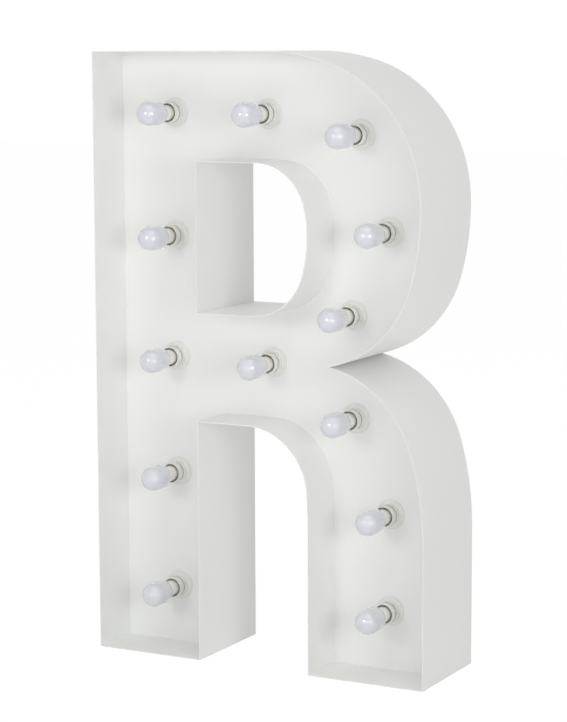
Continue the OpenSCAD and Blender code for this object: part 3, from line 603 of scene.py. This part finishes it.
def thread():
    """The rolled thread: one section of the ridge, carried round the cap by a screw."""
    start = CAP_FOOT + THREAD_START
    root = CAP_ROOT_R - THREAD_SINK
    section = [(root, start)] + [(CAP_CREST_R, start + share * CAP_PITCH) for share in THREAD_CREST]
    section.append((root, start + THREAD_END * CAP_PITCH))
    ridge = pulled("bulb_thread_01", [Vector((r * MM, 0, p * MM)) for r, p in section])
    bpy.ops.mesh.edge_face_add()
    bpy.ops.mesh.delete(type="ONLY_FACE")
    leave()
    apply_modifier(ridge, "SCREW", angle=math.tau, screw_offset=CAP_PITCH * MM, iterations=CAP_TURNS,
                   steps=48, render_steps=48, use_merge_vertices=False)
    edit(ridge)
    bpy.ops.mesh.select_all(action="DESELECT")
    bpy.ops.mesh.select_non_manifold(extend=False, use_wire=True, use_boundary=True)
    bpy.ops.mesh.fill_holes(sides=4)
    bpy.ops.mesh.select_all(action="SELECT")
    bpy.ops.mesh.normals_make_consistent(inside=False)
    leave()
    ridge.rotation_euler = (math.pi / 2, 0, 0)
    ridge.location = FIRST
    settle(ridge)
    smooth(ridge, degrees=35)
    return ridge


def insulator():
    """The glass ring between the cap's shell and its tip."""
    profile = [(0, TIP_FOOT + INSULATOR_DISH), (INSULATOR_FOOT_R, TIP_FOOT + TIP_H),
               (INSULATOR_R, CAP_FOOT - CAP_EDGE), (0, CAP_FOOT - INSULATOR_CLEAR)]
    ring = turned("bulb_insulator_01", profile, FIRST, steps=48)
    round_edges(ring, width=0.3, segments=2, degrees=40)
    smooth(ring, degrees=35)
    return ring


def tip():
    """The solder button at the cap's end, with a flat middle and a round rim."""
    rim = [(TIP_R - inset, height) for inset, height in TIP_RIM]
    points = [(0, 0)] + rim + [(TIP_R, TIP_H), (0, TIP_H + TIP_CROWN)]
    profile = [(r, TIP_FOOT + p) for r, p in points]
    button = turned("bulb_tip_01", profile, FIRST, steps=32)
    smooth(button, degrees=50)
    return button


def holder_base():
    """The lampholder's flange, barrel and socket, and the spigot that goes through the face panel."""
    profile = [(0, SPIGOT_END), (SPIGOT_R, SPIGOT_END), (SPIGOT_R, SEAT), (FLANGE_R, SEAT),
               (FLANGE_R, FLANGE_T - FLANGE_EDGE), (FLANGE_R - FLANGE_EDGE, FLANGE_T),
               (BARREL_R + BARREL_FILLET, FLANGE_T), (BARREL_R, FLANGE_T + BARREL_FILLET),
               (BARREL_R, BARREL_TOP), (UPSTAND_R, BARREL_TOP - SEAM_DEPTH), (UPSTAND_R, SHELF),
               (SOCKET_R, SHELF), (SOCKET_R, SOCKET_FLOOR), (0, SOCKET_FLOOR)]
    base = turned("holder_base_01", profile, FIRST, steps=72)
    round_edges(base, width=0.35, segments=3, degrees=25)
    smooth(base, degrees=30)
    return base


def holder_collar():
    """The ring screwed on in front of the base, with a ledge inside its mouth."""
    mouth = COLLAR_R - LIP_T
    inner = UPSTAND_R + UPSTAND_GAP
    ledge = UPSTAND_R - LEDGE_W
    profile = [(inner, COLLAR_FOOT), (COLLAR_R - SEAM_EDGE, COLLAR_FOOT),
               (COLLAR_R, COLLAR_FOOT + SEAM_EDGE), (COLLAR_R, COLLAR_TOP), (mouth, COLLAR_TOP),
               (mouth, SHELF), (ledge, SHELF + LEDGE_RISE), (ledge, SHELF + SEAT),
               (inner, SHELF + SEAT), (inner, COLLAR_FOOT)]
    collar = turned("holder_collar_01", profile, FIRST, steps=72)
    round_edges(collar, width=0.4, segments=3, degrees=50)
    smooth(collar, degrees=30)
    return collar


BULB_PIECES = [
    (diffuser(), opal, "bulb_", "diffuser", "bulb_"),
    (neck(), neck_plastic, "base_", "bulb_base", "bulb_base_"),
    (screw_cap(), nickel, "base_", "zinc_steel", "bulb_base_"),
    (thread(), nickel, "base_", "zinc_steel", "bulb_base_"),
    (insulator(), glass, "base_", "black_plastic", "bulb_base_"),
    (tip(), tin, "base_", "zinc_steel", "bulb_base_"),
]
HOLDER_PIECES = [
    (holder_base(), "holder_bases"),
    (holder_collar(), "holder_collars"),
]

for number in NUMBERS:
    shift = SITE[number] - FIRST
    for model, material, body, slot, node in BULB_PIECES:
        piece = model if number == "01" else copy_to(model, model.name[:-2] + number, shift)
        finish_piece(piece, material, body + number, node + number)
    for model, node in HOLDER_PIECES:
        piece = model if number == "01" else copy_to(model, model.name[:-2] + number, shift)
        finish_piece(piece, holder_plastic, "letter", node)


# Rear: screws with cross recesses, the inlet, the switch and the terminal block


def pan_screw(name, place, head_r, head_h, shank_r, length):
    """A screw whose head stands out behind the letter, with a cross recess cut into it."""
    low = HEAD_EDGE * head_h
    angles = [math.radians(degrees) for degrees in range(0, 90, 15)]
    dome = [(head_r * math.cos(a), -low - (head_h - low) * math.sin(a)) for a in angles]
    shank = [(0, length), (shank_r - SCREW_POINT, length), (shank_r, length - SCREW_POINT), (shank_r, 0)]
    screw = turned(name, shank + [(head_r, 0)] + dome + [(0, -head_h)], place, steps=40)
    for turn in (0, math.pi / 2):
        deselect()
        bpy.ops.mesh.primitive_cube_add(size=1, location=place + Vector((0, head_h * MM, 0)))
        arm = bpy.context.object
        arm.scale = Vector((head_r * RECESS_SPAN, head_h * RECESS_DEPTH, head_r * RECESS_WIDTH)) * MM
        arm.rotation_euler = (0, turn, 0)
        settle(arm)
        choose(arm, "VERT", lambda vertex: vertex.co.y < place.y + head_h * MM)
        bpy.ops.transform.resize(value=(RECESS_TAPER, 1, RECESS_TAPER), center_override=place)
        leave()
        apply_modifier(screw, "BOOLEAN", object=arm, operation="DIFFERENCE", solver="EXACT")
        bpy.data.objects.remove(arm)
    smooth(screw, degrees=30)
    return screw


def loose_places(node):
    """Where each separate solid of a CAD node has its middle, in the letter's plane."""
    shape = solid_copy(node, "places")
    edit(shape)
    bpy.ops.mesh.separate(type="LOOSE")
    leave()
    places = []
    for part in bpy.context.selected_objects:
        corners = [Vector(corner) for corner in part.bound_box]
        places.append(sum(corners, Vector()) / len(corners))
        bpy.data.objects.remove(part)
    return sorted(places, key=lambda place: (round(place.z, 4), round(place.x, 4)))


def screws(node, face, head_r, head_h, shank_r, length):
    """One screw modelled, then copied to every place of its node, each turned its own way."""
    places = loose_places(node)
    for place in places:
        place.y = face
    model = pan_screw(f"{node}_01", places[0], head_r, head_h, shank_r, length)
    finish_piece(model, zinc, "letter", node)
    for index, place in enumerate(places[1:], 1):
        screw = copy_to(model, f"{node}_{index + 1:02d}", place - places[0])
        edit(screw)
        bpy.ops.transform.rotate(value=index * SCREW_TURN, orient_axis="Y", center_override=place)
        leave()
        finish_piece(screw, zinc, "letter", node)


screws("rear_screws", REAR, SCREW_HEAD_R, SCREW_HEAD_H, SCREW_R, SCREW_LEN)
screws("earth_stud", REAR, SCREW_HEAD_R, SCREW_HEAD_H, SCREW_R, EARTH_LEN)
screws("inlet_screws", REAR + INLET_T * MM, INLET_HEAD_R, INLET_HEAD_H, INLET_SCREW_R, INLET_SCREW_LEN)


def inlet():
    """The inlet's shell: its flange gets round corners first, then every edge is eased."""
    shell = solid_copy("inlet_body", "inlet_shell")
    low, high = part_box("inlet_body")

    def at_corner(edge):
        ends = [shell.data.vertices[i].co for i in edge.vertices]
        middle = (ends[0] + ends[1]) / 2
        at_side = min(middle.x - low.x, high.x - middle.x) < ON_EDGE * MM
        at_end = min(middle.z - low.z, high.z - middle.z) < ON_EDGE * MM
        return at_side and at_end

    choose(shell, "EDGE", at_corner)
    bpy.ops.mesh.bevel(offset=INLET_CORNER_R * MM, segments=6, affect="EDGES")
    leave()
    ease_edges(shell, width=0.4)
    finish_piece(shell, black, "letter", "inlet_body")


inlet()
for node, name, width, material, body, slot in (
        ("switch_body", "switch_shell", 0.35, black, "letter", "black_plastic"),
        ("switch_rocker", "switch_key", 0.3, rocker_black, "rocker", "rocker_plastic"),
        ("terminal_block", "terminal_shell", 0.5, block_ivory, "letter", "block_plastic"),
        ("inlet_pins", "inlet_blades", 0.25, brass, "letter", "brass")):
    piece = solid_copy(node, name)
    ease_edges(piece, width)
    finish_piece(piece, material, body, node)


# Stage: white paper floor, soft lamps, a white room and the camera


def seen_white(tree):
    """A value that is 1 for what the camera sees, straight, in gloss or through glass, else 0."""
    path = add(tree, "ShaderNodeLightPath")
    seen = path.outputs["Is Camera Ray"]
    for kind in ("Is Glossy Ray", "Is Transmission Ray"):
        both = add(tree, "ShaderNodeMath", {"operation": "MAXIMUM"}, {0: seen, 1: path.outputs[kind]})
        seen = both.outputs["Value"]
    return seen


def paper(glow_share):
    # Seamless studio paper: matt white; the camera sees it near full white, less where the letter
    # shades it. To other light a small share of it glows, as paper does that is lit from further off
    material = bpy.data.materials.new("studio_paper")
    material.use_nodes = True
    tree = material.node_tree
    tree.nodes.clear()
    matt = add(tree, "ShaderNodeBsdfDiffuse", {"Color": linear("#F2F2F2")})
    glow = add(tree, "ShaderNodeEmission", {"Color": (1, 1, 1, 1), "Strength": PAPER_GLOW})
    share = add(tree, "ShaderNodeMapRange", {"To Min": glow_share, "To Max": PAPER_SHARE},
                {"Value": seen_white(tree)})
    mixed = add(tree, "ShaderNodeMixShader", None,
                {0: share.outputs["Result"], 1: matt.outputs["BSDF"], 2: glow.outputs["Emission"]})
    add(tree, "ShaderNodeOutputMaterial", None, {"Surface": mixed.outputs["Shader"]})
    return material


def floor(glow_share):
    """A sheet of the paper that the letter stands on."""
    deselect()
    bpy.ops.mesh.primitive_plane_add(size=PAPER_SPAN, location=(0, 0, FLOOR))
    ground = bpy.context.object
    ground.name = "floor"
    settle(ground)
    ground.data.materials.append(paper(glow_share))


def room(left, right, front, back, top):
    """A white room with each wall lit to its own level, which looks plain white to the camera."""
    world = bpy.data.worlds.new("white_room")
    bpy.context.scene.world = world
    world.use_nodes = True
    tree = world.node_tree
    tree.nodes.clear()
    place = add(tree, "ShaderNodeTexCoord")
    parts = add(tree, "ShaderNodeSeparateXYZ", None, {"Vector": place.outputs["Generated"]})
    shares = []
    for axis, low, high in (("X", left, right), ("Y", front, back), ("Z", top, top)):
        along = parts.outputs[axis]
        wall = add(tree, "ShaderNodeMapRange",
                   {"From Min": -WALL_BLEND, "From Max": WALL_BLEND, "To Min": low, "To Max": high},
                   {"Value": along})
        square = add(tree, "ShaderNodeMath", {"operation": "MULTIPLY"}, {0: along, 1: along})
        share = add(tree, "ShaderNodeMath", {"operation": "MULTIPLY"},
                    {0: square.outputs["Value"], 1: wall.outputs["Result"]})
        shares.append(share.outputs["Value"])
    sides = add(tree, "ShaderNodeMath", {"operation": "ADD"}, {0: shares[0], 1: shares[1]})
    walls = add(tree, "ShaderNodeMath", {"operation": "ADD"}, {0: sides.outputs["Value"], 1: shares[2]})
    seen = add(tree, "ShaderNodeMath", {"operation": "MAXIMUM"},
               {0: seen_white(tree), 1: walls.outputs["Value"]})
    sky = add(tree, "ShaderNodeBackground", {"Color": (1, 1, 1, 1)}, {"Strength": seen.outputs["Value"]})
    add(tree, "ShaderNodeOutputWorld", None, {"Surface": sky.outputs["Background"]})


def lamp(name, azimuth, elevation, distance, size, level):
    """A round soft lamp aimed at the letter, by angles in degrees and lengths in metres.

    At level 1 it lights a surface that faces it as bright as the surface's own colour.
    """
    a, e = math.radians(azimuth), math.radians(elevation)
    aim = Vector((0, 0, (cad_box[0].z + cad_box[1].z) / 2))
    away = Vector((math.sin(a) * math.cos(e), -math.cos(a) * math.cos(e), math.sin(e)))
    deselect()
    bpy.ops.object.light_add(type="AREA", location=aim + away * distance)
    light = bpy.context.object
    light.name = name
    light.data.shape = "DISK"
    light.data.size = size
    light.data.energy = level * math.pi ** 2 * distance ** 2
    light.rotation_mode = "QUATERNION"
    light.rotation_quaternion = (-away).to_track_quat("-Z", "Y")


def camera():
    """The camera where the photo was taken from."""
    place = Vector(EYE)
    deselect()
    bpy.ops.object.camera_add(location=place)
    eye = bpy.context.object
    eye.name = "camera"
    eye.data.sensor_width = SENSOR
    eye.data.lens = LENS
    eye.rotation_mode = "QUATERNION"
    aim = (Vector(TARGET) - place).to_track_quat("-Z", "Y")
    eye.rotation_quaternion = aim @ Matrix.Rotation(math.radians(ROLL), 3, "Z").to_quaternion()
    bpy.context.scene.camera = eye


floor(glow_share=0.07)
room(left=0.9, right=0.13, front=0.11, back=0.8, top=0.58)
lamp("key_lamp", azimuth=-4, elevation=15, distance=4.0, size=1.0, level=0.12)
lamp("side_lamp", azimuth=58, elevation=8, distance=4.0, size=1.1, level=0.11)
lamp("fill_lamp", azimuth=36, elevation=0, distance=5.0, size=4.0, level=0.235)
lamp("front_lamp", azimuth=-12, elevation=0, distance=2.2, size=1.6, level=0.05)
lamp("top_lamp", azimuth=40, elevation=60, distance=5.0, size=4.6, level=0.19)
camera()
bpy.context.scene.view_settings.view_transform = "Standard"
